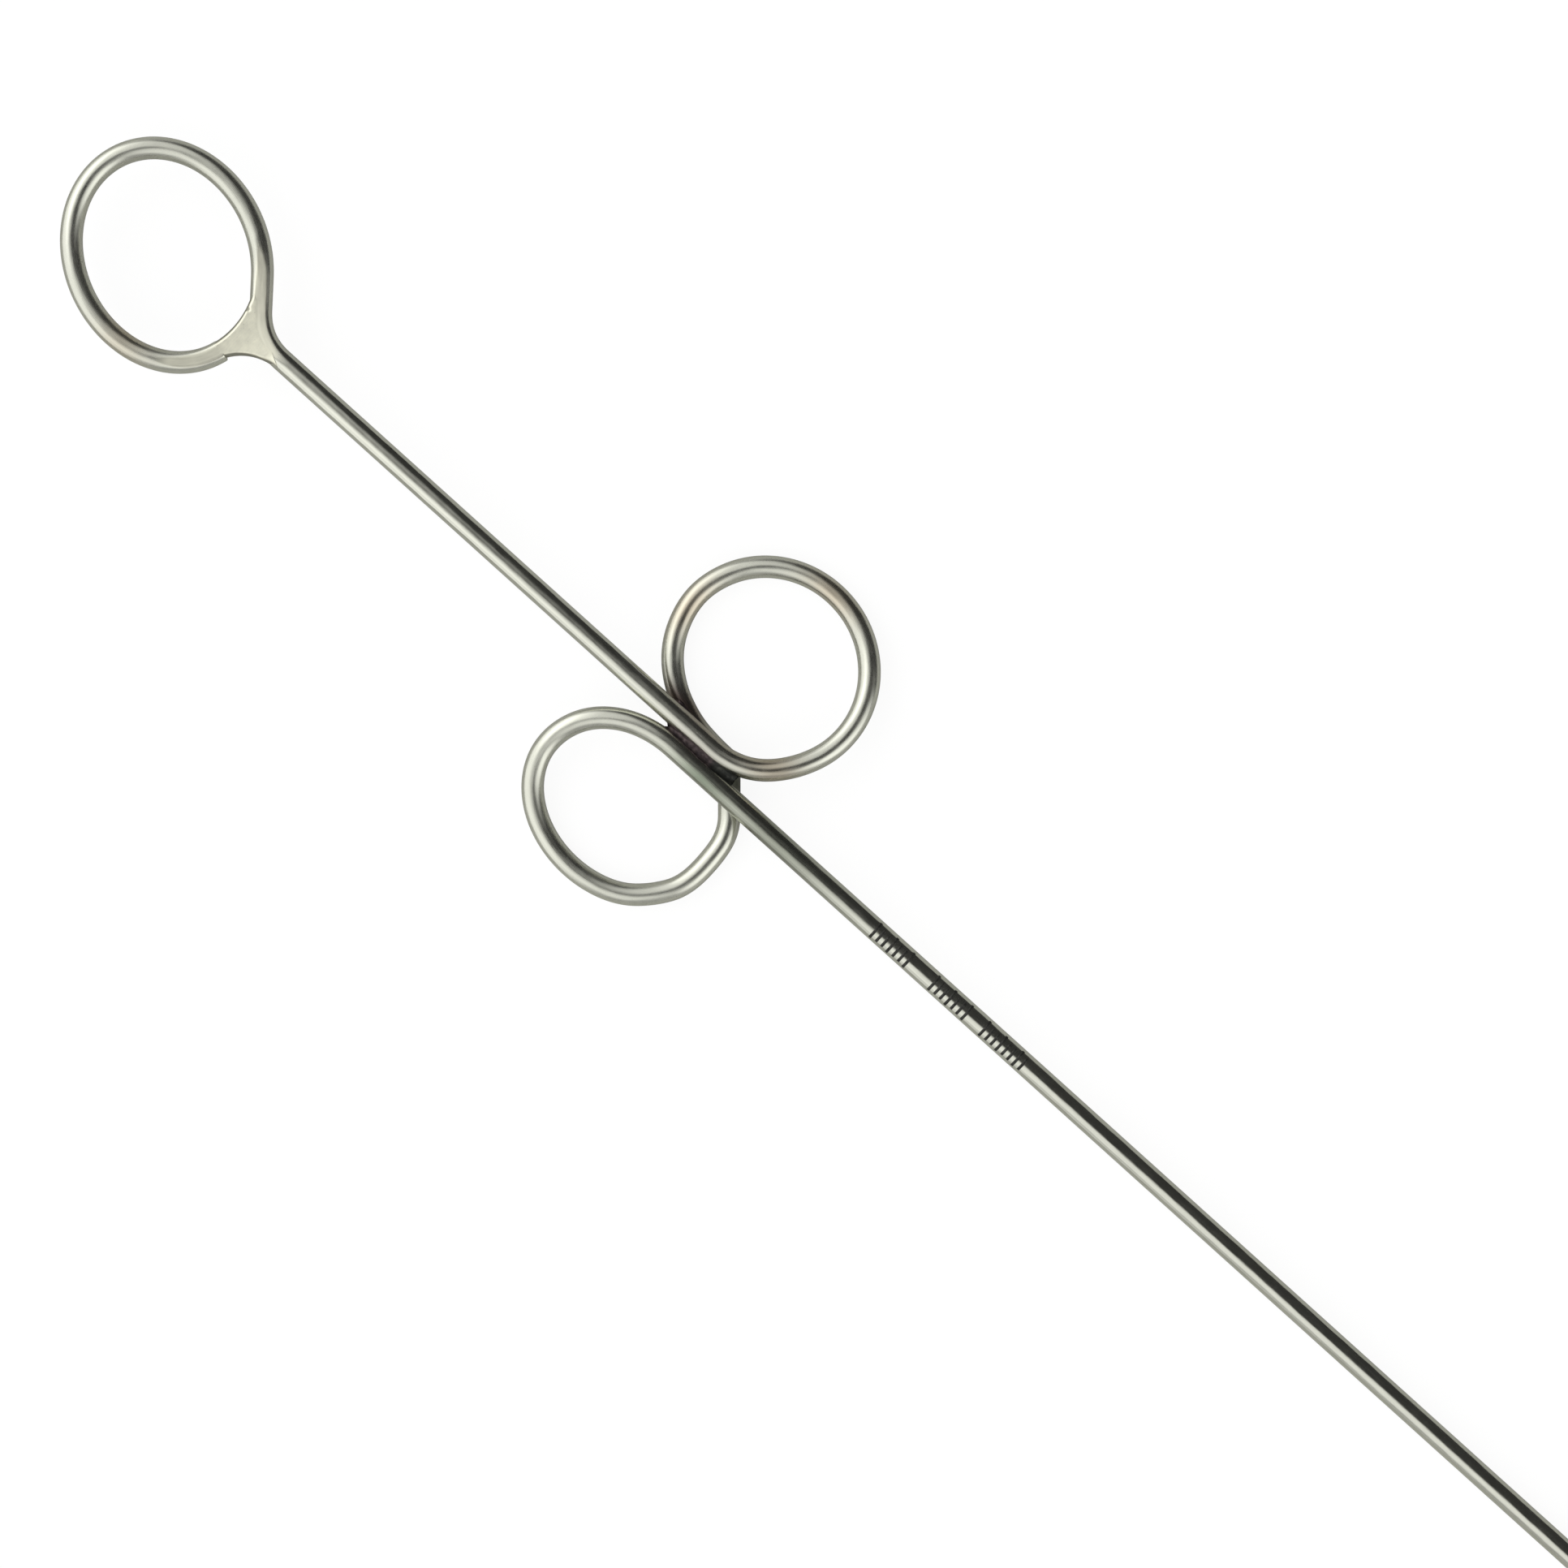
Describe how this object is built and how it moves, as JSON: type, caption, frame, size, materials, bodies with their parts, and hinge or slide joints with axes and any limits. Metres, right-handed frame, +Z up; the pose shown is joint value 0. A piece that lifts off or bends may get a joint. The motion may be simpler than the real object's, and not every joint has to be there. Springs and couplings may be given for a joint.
{
  "type": "mouth gag suspension rod",
  "caption": "Polished steel wire rod with an oval eye at its end, opposed round eyes part-way down and a long plain leg; stands in a base plate and holds an instrument hooked into an eye.",
  "frame": {"origin": "middle of the footprint, on the surface that the rod lies on", "axes": "+X along the rod towards the foot of its leg, +Y towards the rounder of the two lower eyes, +Z up, through the eyes"},
  "size_m": [0.457, 0.071, 0.0103],
  "materials": {
    "polished_wire": "polished, with faint drawing lines along the wire",
    "ground_weld": "ground flush and satin",
    "braze": "dull, darkened by heat"
  },
  "bodies": {
    "root": {"upper_rod": "polished_wire", "lower_rod": "polished_wire", "top_eye_weld": "ground_weld", "rod_seam_braze": "braze", "upper_tail_braze": "braze", "lower_tail_braze": "braze"}
  },
  "joints": []
}
